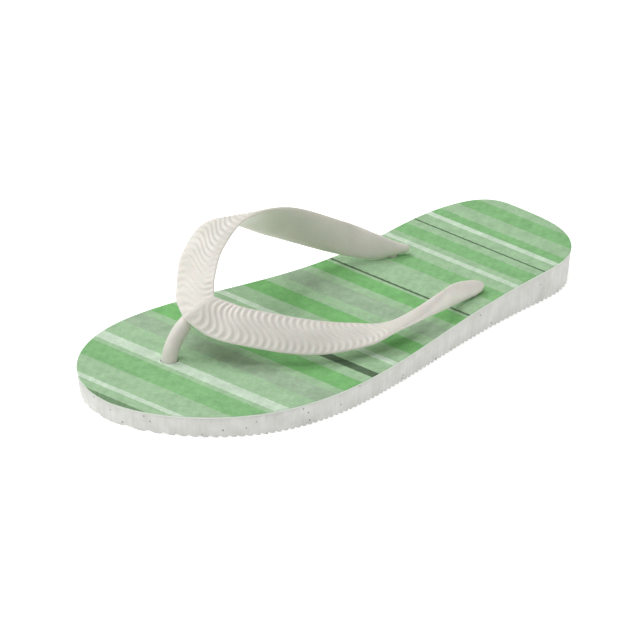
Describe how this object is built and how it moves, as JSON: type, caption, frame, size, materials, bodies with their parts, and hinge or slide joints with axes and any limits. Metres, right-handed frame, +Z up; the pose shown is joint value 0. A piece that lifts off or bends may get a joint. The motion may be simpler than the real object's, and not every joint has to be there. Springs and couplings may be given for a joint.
{
  "type": "flip flop",
  "caption": "Child's left flip flop: a flat wedge sole with cross-ribbed tread, a printed embossed footbed, and a moulded V strap with a toe post held by plugs.",
  "frame": {"origin": "on the ground under the middle of the sole's box", "axes": "+Z up, +Y towards the heel, +X towards the little toe"},
  "size_m": [0.0878, 0.1905, 0.0355],
  "materials": {
    "footbed_print": "embossed, printed cross stripes in greens",
    "sole_rubber": "matte sponge rubber, fine dark flecks, die-cut edge",
    "strap_rubber": "satin, wave-ribbed on the front of both arms"
  },
  "bodies": {
    "root": {"printed_footbed": "footbed_print", "sole": "sole_rubber", "strap": "strap_rubber"}
  },
  "joints": []
}
